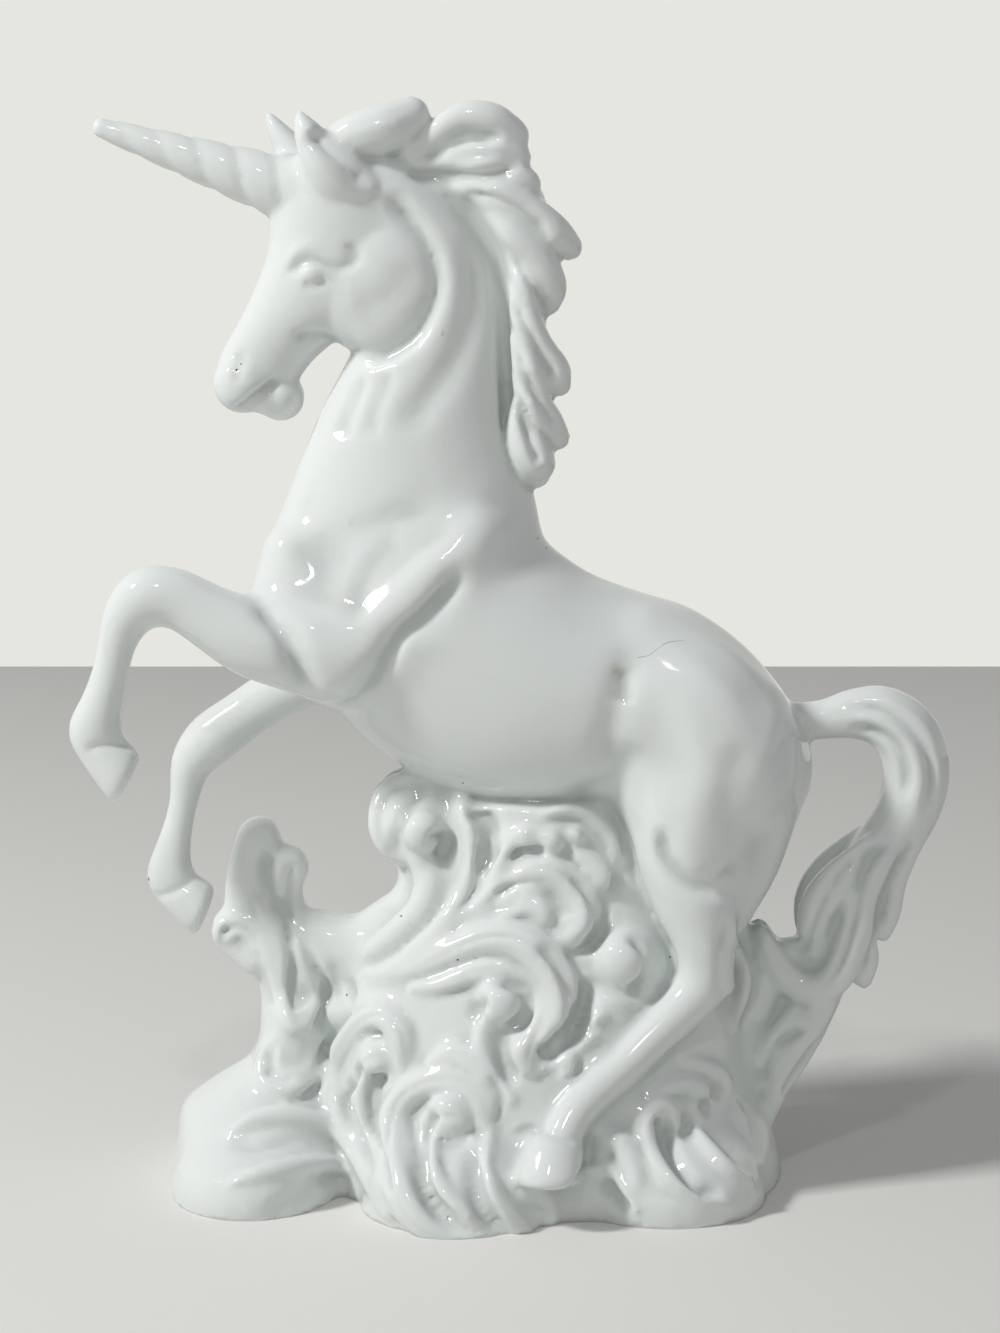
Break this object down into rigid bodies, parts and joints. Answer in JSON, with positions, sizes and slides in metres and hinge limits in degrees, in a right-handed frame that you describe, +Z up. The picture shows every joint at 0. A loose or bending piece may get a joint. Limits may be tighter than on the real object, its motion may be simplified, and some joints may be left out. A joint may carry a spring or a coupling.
{
  "type": "porcelain unicorn figurine",
  "caption": "Glazed white porcelain figurine of a rearing unicorn with twisted horn, wavy mane and looped tail, cast as one piece with the curling waves it stands on.",
  "frame": {"origin": "middle of the length and depth, on the surface that the foot stands on", "axes": "+Z up; the horse looks along -X and its tail is at +X; -Y is the side the picture shows"},
  "size_m": [0.1742, 0.0822, 0.217],
  "materials": {
    "glaze": "glossy clear glaze over white porcelain"
  },
  "bodies": {
    "root": {"unicorn_figurine": "glaze"}
  },
  "joints": []
}
